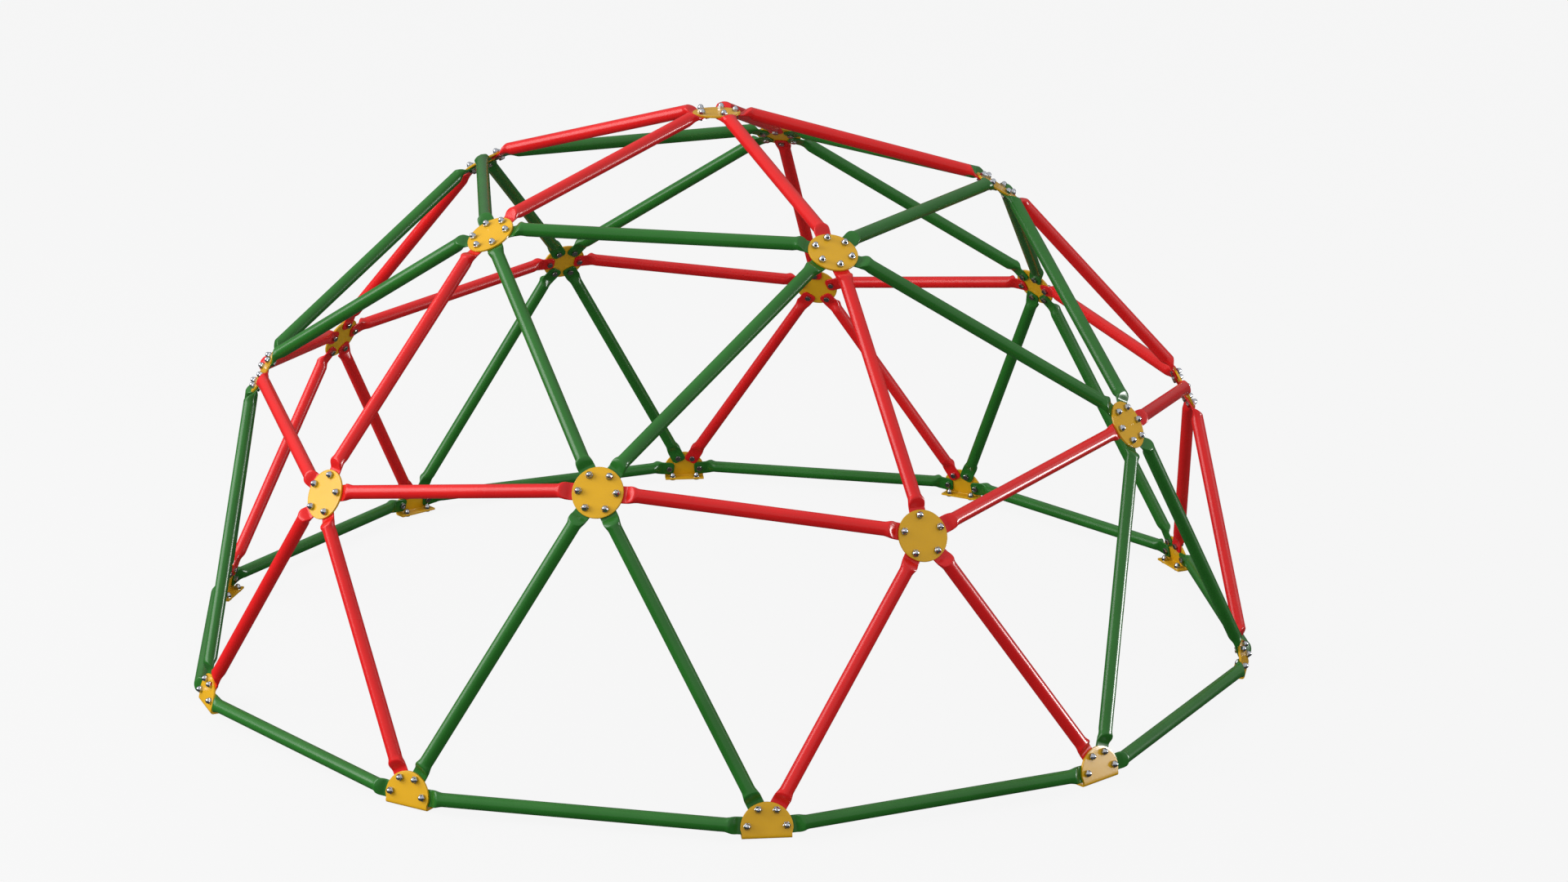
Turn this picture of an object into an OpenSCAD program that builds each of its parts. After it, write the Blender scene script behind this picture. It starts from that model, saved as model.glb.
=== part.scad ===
// Geodesic dome climber: 65 tubes with flattened ends, bolted to 16 round hub plates and 10 foot brackets.
// Millimetres. +Z is up, the ground is z = 0 and the axis of the dome is x = y = 0.

/* [Dome] */
// Distance from the centre of the dome to the inner faces of the round hub plates
joint_radius = 1578; // [1200:1:2100]
// How much further from the dome axis the inner faces of the foot brackets stand
foot_step = 15.5; // [0:0.5:30]
// Height of the bolt centres of the feet above the level that the sphere is centred on
foot_lift = 0.5; // [0:0.5:20]
// Angle by which the uprights of the foot brackets lean in
foot_lean = 14; // [0:0.5:18]

/* [Tubes] */
// Outside diameter of every tube
tube_diameter = 38; // [30:0.5:46]
// Wall thickness of every tube
tube_wall = 2.5; // [1.5:0.1:4]
// Width of a tube where it is pressed flat
flat_width = 47; // [38:0.5:50]
// Distance from the bolt to the tip of a flattened end
flat_tip = 17; // [12:0.5:24]
// Radius of the two corners of the tip
flat_corner = 14; // [6:0.5:17]
// Distance from the rim of a plate to the bend where a flattened end turns into the tube
bend_gap = 14; // [10:0.5:30]
// Length of the flattened end that shows between the rim of a plate and the swelling
flat_show = 8; // [4:0.5:9]
// How far the tube stands outwards of its flattened end at the bend
bend_rise = 5; // [0:0.5:10]
// Length over which the pressed shape swells back to the full round
swell_length = 28; // [16:0.5:60]

/* [Plates] */
// Thickness of the hub plates
plate_thickness = 6; // [4:0.5:10]
// Chamfer round the rim of the hub plates
plate_chamfer = 0.8; // [0.2:0.1:1.5]
// Narrowest gap between two flattened ends where five tubes meet
five_way_gap = 17.5; // [2:0.1:24]
// Narrowest gap between two flattened ends where six tubes meet, and at the feet
six_way_gap = 3.1; // [1:0.1:12]
// Distance from the six-way bolt circle out to the rim of a plate
rim_margin = 18; // [14:0.5:30]
// Clearance round a bolt in every bored hole, on the diameter
hole_clearance = 1; // [0.5:0.1:2]

/* [Feet] */
// Thickness of the plate that the brackets are bent from
bracket_thickness = 6; // [4:0.5:10]
// Distance from the bolt centres down to the centre of the round head
bracket_drop = 3.5; // [0:0.5:15]
// Gap between the flattened ends of the base rails and the bend of the bracket below them
heel_gap = 3; // [2:0.5:30]
// Width of the flange
flange_width = 133; // [120:1:139]
// Distance from the anchor bolts in to the free edge of the flange
flange_margin = 11; // [10:0.5:30]
// Inside radius of the bend between the upright and the flange
bracket_bend = 2; // [1:0.5:4]
// Distance from an anchor bolt to the end of the flange
anchor_margin = 25.5; // [14:0.5:40]
// Clearance between an anchor cap nut and the flattened ends of the base rails
anchor_clearance = 1.6; // [0.5:0.1:8]

/* [Fasteners] */
// Shank diameter of every bolt
bolt_diameter = 12; // [8:0.5:14]
// Width across the flats of the bolt heads and of the cap nuts
hex_width = 18; // [14:0.5:22]
// Height of a bolt head
head_height = 7.5; // [5:0.1:10]
// Height of the low heads of the anchor bolts, on which the dome stands
anchor_head_height = 3; // [2:0.1:10]
// Height of the six-sided skirt of a cap nut
skirt_height = 7.5; // [5:0.1:10]
// Height of a whole cap nut
cap_height = 16.5; // [15:0.5:24]
// Diameter of the dome of a cap nut
cap_diameter = 16.5; // [15:0.5:18]
// How far a bolt reaches into its cap nut
bolt_engagement = 9.5; // [6:0.5:10.5]
// Space left past the end of a bolt in its cap nut
thread_runout = 0.8; // [0.3:0.1:1.5]
// Clearance round a bolt in its cap nut, on the diameter
thread_clearance = 0.2; // [0.1:0.05:0.5]

/* [Hidden] */
// Latitudes of the three rings of hubs between the feet and the apex
crown_latitude = atan((1 + sqrt(5)) / 2);
pentagon_latitude = atan(1 / 2);
hexagon_latitude = atan(2 / (1 + sqrt(5)));
// A sector is a fifth of the turn
sector_angle = 72;
// Two neighbouring tubes leave a five-way plate 72 degrees apart
five_way_angle = 72;
// The narrowest angle between two tubes at a six-way plate is as large as the latitude of the crown
six_way_angle = crown_latitude;
// A tube pressed flat is two walls thick
flat_thickness = 2 * tube_wall;
// The bolt circle at which flattened ends that are one angle apart clear each other by one gap
function clearing_circle(angle, gap) =
    flat_tip - flat_corner
    + (gap / 2 + flat_corner + (flat_width / 2 - flat_corner) * cos(angle / 2)) / sin(angle / 2);
five_way_circle = clearing_circle(five_way_angle, five_way_gap);
six_way_circle = clearing_circle(six_way_angle, six_way_gap);
// The round plates and the round heads of the brackets share one radius
plate_radius = six_way_circle + rim_margin;
// Distance from the centre of a hub to the bend of a tube, and to the end of its flattened part
bend_reach = plate_radius + bend_gap;
flat_reach = plate_radius + flat_show;
// Half the angle between neighbouring feet, by which a base rail turns in from a foot
rail_angle = 18;
// How far the lean of a foot lifts the bolts of its base rails above the bolt centre
rail_rise = six_way_circle * sin(rail_angle) * sin(foot_lean)
    / norm([cos(rail_angle), sin(rail_angle) * sin(foot_lean)]);
// Distance from the bolt centre of a foot down to the underside of its flange
bracket_height = flat_width / 2 - rail_rise + heel_gap + bracket_bend + bracket_thickness;
// Distance from the bolt centre of a foot in to its anchor bolts
anchor_inset = flat_thickness + anchor_clearance + hex_width / cos(30) / 2;
anchor_spacing = flange_width - 2 * anchor_margin;
// Distance from the bolt centre of a foot in to the free edge of its flange
flange_reach = anchor_inset + flange_margin;
foot_joint_radius = joint_radius + foot_step;
// Height of the bolt centres of the feet above the ground
foot_height = anchor_head_height + bracket_height;
// Height of the centre of the sphere above the ground
centre_height = foot_height - foot_lift;
// Overlap of the pieces that make up one pressed tube
weld = 2;
// Number of steps of the bend of a bracket
bend_steps = 8;
// Number of sides of the swelling where it is approximated
ring_sides = 10;
$fn = 64;

red = [0.66, 0.02, 0.03];
green = [0.03, 0.17, 0.05];
yellow = [0.70, 0.40, 0.04];
chrome = [0.72, 0.72, 0.74];

// Kinds of hub
APEX = 0;
CROWN = 1;
PENTAGON = 2;
HEXAGON = 3;
FOOT = 4;

// Vectors and directions
function unit(v) = v / norm(v);
function direction(latitude, longitude) =
    [cos(latitude) * cos(longitude), cos(latitude) * sin(longitude), sin(latitude)];
// The part of v that lies along the plane with normal n, as a unit vector
function along(v, n) = unit(v - (v * n) * n);
// A matrix that puts the origin at p, the x axis along x and the z axis along z
function frame_at(p, x, z) =
    let (y = cross(z, x))
    [[x[0], y[0], z[0], p[0]], [x[1], y[1], z[1], p[1]], [x[2], y[2], z[2], p[2]], [0, 0, 0, 1]];

// Hubs are pairs [kind, place]. Feet count in tenths of a turn and the other rings in fifths.
function longitude(hub) =
    hub[0] == HEXAGON ? -90 + sector_angle * (hub[1] + 0.5)
    : hub[0] == FOOT ? -90 + sector_angle * (hub[1] - 0.5) / 2
    : -90 + sector_angle * hub[1];
function latitude(hub) =
    hub[0] == APEX ? 90
    : hub[0] == CROWN ? crown_latitude
    : hub[0] == PENTAGON ? pentagon_latitude
    : hub[0] == HEXAGON ? hexagon_latitude
    : 0;
// Direction from the centre of the sphere to a hub
function outward(hub) = direction(latitude(hub), longitude(hub));
// Normal of the plate of a hub, which leans up at the feet
function normal(hub) = direction(hub[0] == FOOT ? foot_lean : latitude(hub), longitude(hub));
// Centre of the bolt circle of a hub, on the inner face of its plate
function centre(hub) =
    hub[0] == FOOT
        ? foot_joint_radius * outward(hub) + [0, 0, foot_height]
        : joint_radius * outward(hub) + [0, 0, centre_height];
function bolt_circle(hub) = hub[0] == APEX || hub[0] == PENTAGON ? five_way_circle : six_way_circle;
function thickness(hub) = hub[0] == FOOT ? bracket_thickness : plate_thickness;
// Direction in which the tube towards another hub leaves a plate
function leaving(hub, other) = along(centre(other) - centre(hub), normal(hub));
// Centre of the bolt that holds one end of a tube, on the inner face of the plate
function bolt_point(hub, other) = centre(hub) + bolt_circle(hub) * leaving(hub, other);
// Where the axis of the tube starts, at its bend
function bend_point(hub, other) =
    centre(hub) + bend_reach * leaving(hub, other) - (flat_thickness / 2 - bend_rise) * normal(hub);

// The hubs that one hub is tied to
function neighbours(hub) =
    let (k = hub[0], i = hub[1])
    k == APEX ? [for (j = [0:4]) [CROWN, j]]
    : k == CROWN ? [[APEX, 0], [CROWN, i + 1], [CROWN, i - 1], [PENTAGON, i], [HEXAGON, i], [HEXAGON, i - 1]]
    : k == PENTAGON ? [[CROWN, i], [HEXAGON, i], [HEXAGON, i - 1], [FOOT, 2 * i], [FOOT, 2 * i + 1]]
    : k == HEXAGON
        ? [[CROWN, i], [CROWN, i + 1], [PENTAGON, i], [PENTAGON, i + 1], [FOOT, 2 * i + 1], [FOOT, 2 * i + 2]]
    : i % 2 == 0
        ? [[FOOT, i + 1], [FOOT, i - 1], [PENTAGON, i / 2], [HEXAGON, i / 2 - 1]]
        : [[FOOT, i + 1], [FOOT, i - 1], [PENTAGON, (i - 1) / 2], [HEXAGON, (i - 1) / 2]];

ALL_HUBS = concat(
    [[APEX, 0]],
    [for (i = [0:4]) [CROWN, i]],
    [for (i = [0:4]) [PENTAGON, i]],
    [for (i = [0:4]) [HEXAGON, i]],
    [for (i = [0:9]) [FOOT, i]]
);

// One cross-section of the swelling: centre c, axes x and y, half sizes a and b.
// A power of 1 gives an ellipse and a smaller power a squarer outline.
function ring(c, x, y, a, b, power) =
    [for (i = [0:ring_sides - 1])
        let (t = 360 * (i + 0.5) / ring_sides)
        c + a * sign(cos(t)) * pow(abs(cos(t)), power) * x
          + b * sign(sin(t)) * pow(abs(sin(t)), power) * y];
// Triangles between the ring that starts at index p and the ring that starts at index q
function band(p, q) =
    [for (i = [0:ring_sides - 1])
        let (j = (i + 1) % ring_sides)
        each [[p + i, q + i, q + j], [p + i, q + j, p + j]]];
function cap(p) = [for (i = [1:ring_sides - 2]) [p, p + i, p + i + 1]];
function turned(faces) = [for (f = faces) [f[2], f[1], f[0]]];

// The hollow swelling between a flattened end and the round tube. It starts at the end of the flat,
// follows the bend and ends inside the wall of the tube.
module swelling(hub, other) {
    n = normal(hub);
    w = leaving(hub, other);
    k = bend_point(hub, other);
    u = unit(bend_point(other, hub) - k);
    flat_side = cross(n, w);
    tube_up = along(n, u);
    tube_side = cross(tube_up, u);
    r = tube_diameter / 2 - 0.05;
    bore = (tube_diameter / 2 - tube_wall) / cos(180 / ring_sides) + 0.05;
    start = centre(hub) + (flat_reach - weld) * w - flat_thickness / 2 * n;
    middle = k + swell_length / 3 * u;
    full = k + (swell_length - 1) * u;
    end = k + (swell_length + weld) * u;
    wide = (flat_width + tube_diameter) / 4;
    tall = tube_diameter * 0.4;
    points = concat(
        ring(start, flat_side, n, flat_width / 2 - 0.2, flat_thickness / 2 - 0.1, 0.35),
        ring(middle, tube_side, tube_up, wide, tall, 0.8),
        ring(full, tube_side, tube_up, r, r, 1),
        ring(end, tube_side, tube_up, r, r, 1),
        ring(middle, tube_side, tube_up, wide - tube_wall, tall - tube_wall, 0.8),
        ring(full, tube_side, tube_up, bore, bore, 1),
        ring(end, tube_side, tube_up, bore, bore, 1)
    );
    s = ring_sides;
    faces = concat(
        turned(cap(0)),
        band(0, s),
        band(s, 2 * s),
        band(2 * s, 3 * s),
        band(3 * s, 6 * s),
        turned(band(5 * s, 6 * s)),
        turned(band(4 * s, 5 * s)),
        cap(4 * s)
    );
    polyhedron(points = points, faces = faces);
}

// The flattened end, lying on the inner face of the plate, with its bolt hole
module flattened_end(hub, other) {
    m = frame_at(bolt_point(hub, other), leaving(hub, other), normal(hub));
    reach = flat_reach - bolt_circle(hub);
    multmatrix(m)
        translate([0, 0, -flat_thickness])
            linear_extrude(flat_thickness)
                difference() {
                    union() {
                        translate([flat_corner - flat_tip, -flat_width / 2])
                            square([reach + flat_tip - flat_corner, flat_width]);
                        translate([-flat_tip, flat_corner - flat_width / 2])
                            square([flat_corner + 1, flat_width - 2 * flat_corner]);
                        for (side = [-1, 1])
                            translate([flat_corner - flat_tip, side * (flat_width / 2 - flat_corner)])
                                circle(r = flat_corner);
                    }
                    circle(d = bolt_diameter + hole_clearance);
                }
}

// One tube between two hubs
module strut(a, b) {
    p = bend_point(a, b);
    q = bend_point(b, a);
    u = unit(q - p);
    length = norm(q - p) - 2 * swell_length;
    multmatrix(frame_at(p + swell_length * u, along(normal(a), u), u))
        difference() {
            cylinder(h = length, d = tube_diameter);
            translate([0, 0, -1])
                cylinder(h = length + 2, d = tube_diameter - 2 * tube_wall);
        }
    swelling(a, b);
    swelling(b, a);
    flattened_end(a, b);
    flattened_end(b, a);
}

// Children placed at every hub bolt, with z = 0 on the inner face of the plate and z outwards
module at_hub_bolts(hub) {
    for (other = neighbours(hub))
        multmatrix(frame_at(bolt_point(hub, other), leaving(hub, other), normal(hub)))
            children();
}

// The bolt holes of a hub
module hub_holes(hub) {
    at_hub_bolts(hub)
        translate([0, 0, -1])
            cylinder(h = thickness(hub) + 2, d = bolt_diameter + hole_clearance);
}

// A round hub plate, outside the flattened ends
module hub_plate(hub) {
    r = plate_radius;
    t = plate_thickness;
    c = plate_chamfer;
    difference() {
        multmatrix(frame_at(centre(hub), leaving(hub, neighbours(hub)[0]), normal(hub)))
            rotate_extrude()
                polygon([[0, 0], [r - c, 0], [r, c], [r, t - c], [r - c, t], [0, t]]);
        hub_holes(hub);
    }
}

// A foot bracket: its side view as a strip as wide as the head, cut to its front view.
// x runs along the ring of feet, y up the leaning upright and z outwards.
module foot_bracket(hub) {
    t = bracket_thickness;
    low = bracket_bend + t;
    half = flange_width / 2;
    along_ring = cross([0, 0, 1], outward(hub));
    down = [-sin(foot_lean), -cos(foot_lean)];
    heel = (low - bracket_height + bracket_bend * sin(foot_lean)) / cos(foot_lean);
    knee = [-bracket_bend, heel];
    run = flange_reach - heel * sin(foot_lean) - bracket_bend * cos(foot_lean);
    inwards = run * [-cos(foot_lean), sin(foot_lean)];
    turns = [for (k = [0:bend_steps]) -(90 + foot_lean) * (1 - k / bend_steps)];
    side = concat(
        [knee + bracket_bend * down + inwards, knee + low * down + inwards],
        [for (a = turns) knee + low * [cos(a), sin(a)]],
        [[t, plate_radius + 1], [0, plate_radius + 1]],
        [for (k = [bend_steps:-1:0]) knee + bracket_bend * [cos(turns[k]), sin(turns[k])]]
    );
    straight = min(
        -bracket_drop - 1, (t - bracket_height) * cos(foot_lean) + flange_reach * sin(foot_lean)
    );
    depth = flange_reach + bracket_height;
    difference() {
        multmatrix(frame_at(centre(hub), along_ring, normal(hub)))
            intersection() {
                translate([plate_radius + 1, 0, 0])
                    rotate([0, -90, 0])
                        linear_extrude(2 * plate_radius + 2)
                            polygon(side);
                translate([0, 0, -depth])
                    linear_extrude(depth + t + 1)
                        union() {
                            intersection() {
                                translate([0, -bracket_drop])
                                    circle(r = plate_radius);
                                translate([-plate_radius - 1, -bracket_drop])
                                    square([2 * plate_radius + 2, plate_radius + 1]);
                            }
                            polygon([
                                [-plate_radius, -bracket_drop], [-half, straight], [-half, -depth],
                                [half, -depth], [half, straight], [plate_radius, -bracket_drop]
                            ]);
                        }
            }
        hub_holes(hub);
        multmatrix(frame_at(centre(hub), along_ring, outward(hub)))
            for (end = [-1, 1])
                translate([end * anchor_spacing / 2, -bracket_height - 1, -anchor_inset])
                    rotate([-90, 0, 0])
                        cylinder(h = t + 2, d = bolt_diameter + hole_clearance);
    }
}

// A hexagon prism standing on z = 0, with its outer corners rounded off by a cone at the top
module hex_prism(height) {
    corner = hex_width / cos(30);
    intersection() {
        cylinder(h = height, d = corner, $fn = 6);
        rotate_extrude()
            polygon([
                [0, 0], [corner / 2, 0], [corner / 2, height - 1], [hex_width / 2 - 0.4, height], [0, height]
            ]);
    }
}

// A hexagon-head bolt: the head hangs below z = 0 and the shank rises through the grip
module bolt(grip, head) {
    rotate([180, 0, 0])
        hex_prism(head);
    cylinder(h = grip + bolt_engagement, d = bolt_diameter);
}

// A cap nut standing on z = 0
module cap_nut() {
    r = cap_diameter / 2;
    difference() {
        union() {
            hex_prism(skirt_height);
            cylinder(h = cap_height - r, r = r);
            translate([0, 0, cap_height - r])
                sphere(r = r);
        }
        translate([0, 0, -1])
            cylinder(h = bolt_engagement + thread_runout + 1, d = bolt_diameter + thread_clearance);
        translate([-r - 2, -r - 2, -2 * r])
            cube([2 * r + 4, 2 * r + 4, 2 * r]);
    }
}

// Children placed at every anchor bolt: z = 0 is the underside of the flange and z is up
module at_anchors() {
    for (i = [0:9])
        for (side = [-1, 1])
            let (n = outward([FOOT, i]))
                translate(
                    (foot_joint_radius - anchor_inset) * n
                    + side * anchor_spacing / 2 * cross([0, 0, 1], n)
                    + [0, 0, anchor_head_height]
                )
                    rotate([0, 0, longitude([FOOT, i])])
                        children();
}

module apex_strut(i) {
    color(red) strut([APEX, 0], [CROWN, i]);
}

module crown_rail(i) {
    color(green) strut([CROWN, i], [CROWN, i + 1]);
}

module shoulder_strut(i) {
    color(red) strut([CROWN, i], [PENTAGON, i]);
}

module shoulder_braces(i) {
    color(green) strut([CROWN, i], [HEXAGON, i]);
    color(green) strut([CROWN, i], [HEXAGON, i - 1]);
}

module waist_rails(i) {
    color(red) strut([PENTAGON, i], [HEXAGON, i]);
    color(red) strut([PENTAGON, i], [HEXAGON, i - 1]);
}

module pentagon_legs(i) {
    color(red) strut([PENTAGON, i], [FOOT, 2 * i]);
    color(red) strut([PENTAGON, i], [FOOT, 2 * i + 1]);
}

module hexagon_legs(i) {
    color(green) strut([HEXAGON, i], [FOOT, 2 * i + 1]);
    color(green) strut([HEXAGON, i], [FOOT, 2 * i + 2]);
}

module base_rails(i) {
    color(green) strut([FOOT, 2 * i], [FOOT, 2 * i + 1]);
    color(green) strut([FOOT, 2 * i + 1], [FOOT, 2 * i + 2]);
}

module apex_plate() {
    color(yellow) hub_plate([APEX, 0]);
}

module crown_plate(i) {
    color(yellow) hub_plate([CROWN, i]);
}

module waist_plates(i) {
    color(yellow) hub_plate([PENTAGON, i]);
    color(yellow) hub_plate([HEXAGON, i]);
}

module foot_brackets(i) {
    color(yellow) foot_bracket([FOOT, 2 * i]);
    color(yellow) foot_bracket([FOOT, 2 * i + 1]);
}

module hub_bolts() {
    color(chrome)
        for (hub = ALL_HUBS)
            at_hub_bolts(hub)
                translate([0, 0, -flat_thickness])
                    bolt(flat_thickness + thickness(hub), head_height);
}

module hub_cap_nuts() {
    color(chrome)
        for (hub = ALL_HUBS)
            at_hub_bolts(hub)
                translate([0, 0, thickness(hub)])
                    cap_nut();
}

module anchor_bolts() {
    color(chrome)
        at_anchors()
            bolt(bracket_thickness, anchor_head_height);
}

module anchor_cap_nuts() {
    color(chrome)
        at_anchors()
            translate([0, 0, bracket_thickness])
                cap_nut();
}

apex_strut(0);  // apex_strut_1
apex_strut(1);  // apex_strut_2
apex_strut(2);  // apex_strut_3
apex_strut(3);  // apex_strut_4
apex_strut(4);  // apex_strut_5
crown_rail(0);  // crown_rail_1
crown_rail(1);  // crown_rail_2
crown_rail(2);  // crown_rail_3
crown_rail(3);  // crown_rail_4
crown_rail(4);  // crown_rail_5
shoulder_strut(0);  // shoulder_strut_1
shoulder_strut(1);  // shoulder_strut_2
shoulder_strut(2);  // shoulder_strut_3
shoulder_strut(3);  // shoulder_strut_4
shoulder_strut(4);  // shoulder_strut_5
shoulder_braces(0);  // shoulder_braces_1
shoulder_braces(1);  // shoulder_braces_2
shoulder_braces(2);  // shoulder_braces_3
shoulder_braces(3);  // shoulder_braces_4
shoulder_braces(4);  // shoulder_braces_5
waist_rails(0);  // waist_rails_1
waist_rails(1);  // waist_rails_2
waist_rails(2);  // waist_rails_3
waist_rails(3);  // waist_rails_4
waist_rails(4);  // waist_rails_5
pentagon_legs(0);  // pentagon_legs_1
pentagon_legs(1);  // pentagon_legs_2
pentagon_legs(2);  // pentagon_legs_3
pentagon_legs(3);  // pentagon_legs_4
pentagon_legs(4);  // pentagon_legs_5
hexagon_legs(0);  // hexagon_legs_1
hexagon_legs(1);  // hexagon_legs_2
hexagon_legs(2);  // hexagon_legs_3
hexagon_legs(3);  // hexagon_legs_4
hexagon_legs(4);  // hexagon_legs_5
base_rails(0);  // base_rails_1
base_rails(1);  // base_rails_2
base_rails(2);  // base_rails_3
base_rails(3);  // base_rails_4
base_rails(4);  // base_rails_5
apex_plate();
crown_plate(0);  // crown_plate_1
crown_plate(1);  // crown_plate_2
crown_plate(2);  // crown_plate_3
crown_plate(3);  // crown_plate_4
crown_plate(4);  // crown_plate_5
waist_plates(0);  // waist_plates_1
waist_plates(1);  // waist_plates_2
waist_plates(2);  // waist_plates_3
waist_plates(3);  // waist_plates_4
waist_plates(4);  // waist_plates_5
foot_brackets(0);  // foot_brackets_1
foot_brackets(1);  // foot_brackets_2
foot_brackets(2);  // foot_brackets_3
foot_brackets(3);  // foot_brackets_4
foot_brackets(4);  // foot_brackets_5
hub_bolts();
hub_cap_nuts();
anchor_bolts();
anchor_cap_nuts();
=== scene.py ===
# %% [markdown]
# # A dome climber from pressed tubes, round plates and cap nuts
# The real climber is a frame of steel tubes. Both ends of every tube are pressed flat, bent a little
# and bolted behind a round plate. This lesson starts from an exact CAD model of it, which is loaded
# as a fixed frame, and gives each part the softer shape and the paint that a steel shop gives it.

import bpy
import numpy as np
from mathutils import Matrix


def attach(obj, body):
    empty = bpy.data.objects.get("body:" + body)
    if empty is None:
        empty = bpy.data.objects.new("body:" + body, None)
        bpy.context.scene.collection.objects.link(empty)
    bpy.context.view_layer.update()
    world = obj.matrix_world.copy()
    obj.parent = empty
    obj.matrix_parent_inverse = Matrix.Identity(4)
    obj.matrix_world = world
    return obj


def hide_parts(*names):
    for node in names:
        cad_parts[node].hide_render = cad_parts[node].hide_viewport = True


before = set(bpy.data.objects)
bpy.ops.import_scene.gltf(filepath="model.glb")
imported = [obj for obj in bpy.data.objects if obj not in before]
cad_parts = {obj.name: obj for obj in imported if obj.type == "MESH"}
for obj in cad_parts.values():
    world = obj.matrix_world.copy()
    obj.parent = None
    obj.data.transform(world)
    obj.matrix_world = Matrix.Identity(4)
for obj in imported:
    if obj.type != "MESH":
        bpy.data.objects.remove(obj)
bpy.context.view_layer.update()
print("frame:", len(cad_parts), "nodes")

# %% [markdown]
# ## The sizes of the frame
# The pieces made here have to meet the CAD parts, so they repeat the sizes that the CAD model was
# drawn with. Everything is in metres. A size is named once and each piece takes it from here.

# %% The sizes
MM = 0.001
JOINT_RADIUS = 1578 * MM  # from the centre of the dome to the inner faces of the plates
FOOT_JOINT_RADIUS = 1593.5 * MM  # the same for the foot brackets
FOOT_LIFT = 0.5 * MM  # how far the bolt centres of the feet stand above the centre of the dome
FOOT_LEAN = np.radians(14)  # how far the uprights of the foot brackets lean in
TUBE_RADIUS = 19 * MM
FLAT_WIDTH = 47 * MM
FLAT_THICKNESS = 5 * MM
FLAT_TIP = 17 * MM  # from the bolt to the tip of the flattened end
FLAT_CORNER = 14 * MM  # radius of the corners of the flattened end
PLATE_THICKNESS = 6 * MM
BOLT_CIRCLE = {5: 54.8 * MM, 6: 52.0 * MM}  # where five tubes meet, and where six or four meet
PLATE_RADIUS = 70 * MM
BEND_REACH = 84 * MM  # from the centre of a hub to the bend of a tube
BEND_RISE = 5 * MM  # how far the tube stands outwards of its flattened end
HEX_WIDTH = 18 * MM  # across the flats of the bolts and nuts
HEAD_HEIGHT = 7.5 * MM
ANCHOR_HEAD_HEIGHT = 3 * MM
SKIRT_HEIGHT = 7.5 * MM  # hexagon part of a cap nut
CAP_HEIGHT = 16.5 * MM
CAP_RADIUS = 8.25 * MM
RAIL_ANGLE = np.radians(18)  # how far a base rail turns in from a foot
RAIL_RISE = BOLT_CIRCLE[6] * np.sin(RAIL_ANGLE) * np.sin(FOOT_LEAN) / np.hypot(
    np.cos(RAIL_ANGLE), np.sin(RAIL_ANGLE) * np.sin(FOOT_LEAN))
HEEL_GAP = 3 * MM  # between the flattened ends of the base rails and the bend of the bracket
BRACKET_DROP = 3.5 * MM  # from the bolt centre of a foot down to the centre of the round head
BRACKET_BEND = 2 * MM  # inner radius of the bend of a bracket
BRACKET_HEIGHT = FLAT_WIDTH / 2 + HEEL_GAP + BRACKET_BEND + PLATE_THICKNESS - RAIL_RISE
ANCHOR_SPACING = 82 * MM
ANCHOR_INSET = 17 * MM  # from the bolt centre of a foot in to its anchor bolts
FLANGE_WIDTH = 133 * MM
ANCHOR_CLEARANCE = 1.6 * MM  # between a flattened end and the corners of an anchor nut
FLANGE_MARGIN = 11 * MM  # from the anchor bolts in to the flange's free edge
FLANGE_REACH = (FLAT_THICKNESS + ANCHOR_CLEARANCE + HEX_WIDTH / 2 / np.cos(np.radians(30))
                + FLANGE_MARGIN)
FOOT_HEIGHT = ANCHOR_HEAD_HEIGHT + BRACKET_HEIGHT  # height of the bolt centres of the feet
CENTRE_HEIGHT = FOOT_HEIGHT - FOOT_LIFT  # height of the centre of the dome
print("plates are", round(2000 * PLATE_RADIUS), "mm across and tubes", round(2000 * TUBE_RADIUS), "mm")

# %% [markdown]
# ## Where the hubs are
# The dome is a geodesic one: its 26 hubs lie on a sphere, in rings at the latitudes of a split
# icosahedron. Every hub has an outward direction, a centre on the inner face of its plate, and a
# list of the hubs it is tied to. With those, any tube can be laid between any two hubs by name.

# %% The hubs
GOLDEN = (1 + np.sqrt(5)) / 2
LATITUDE = {"apex": np.pi / 2, "crown": np.arctan(GOLDEN), "pentagon": np.arctan(0.5),
            "hexagon": np.arctan(1 / GOLDEN), "foot": 0.0}
COUNT = {"apex": 1, "crown": 5, "pentagon": 5, "hexagon": 5, "foot": 10}
UP = np.array([0.0, 0.0, 1.0])


def unit(v):
    """v divided by its length, along the last axis."""
    return v / np.linalg.norm(v, axis=-1, keepdims=True)


def outward(hub, lean=0.0):
    """Direction from the centre to a hub, from its latitude and longitude. A lean adds to the latitude."""
    kind, i = hub
    step = {"foot": (i - 0.5) / 2, "hexagon": i + 0.5}.get(kind, i)
    longitude = np.radians(-90 + 72 * step)
    latitude = LATITUDE[kind] + lean
    level = np.cos(latitude)
    return np.array([level * np.cos(longitude), level * np.sin(longitude), np.sin(latitude)])


def normal(hub):
    """Normal of the plate of a hub: its outward direction, which leans up at a foot."""
    return outward(hub, FOOT_LEAN if hub[0] == "foot" else 0.0)


def centre(hub):
    """Centre of the bolt circle, on the inner face of the plate: outwards by the radius, and raised."""
    if hub[0] == "foot":
        return FOOT_JOINT_RADIUS * outward(hub) + FOOT_HEIGHT * UP
    return JOINT_RADIUS * outward(hub) + CENTRE_HEIGHT * UP


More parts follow.
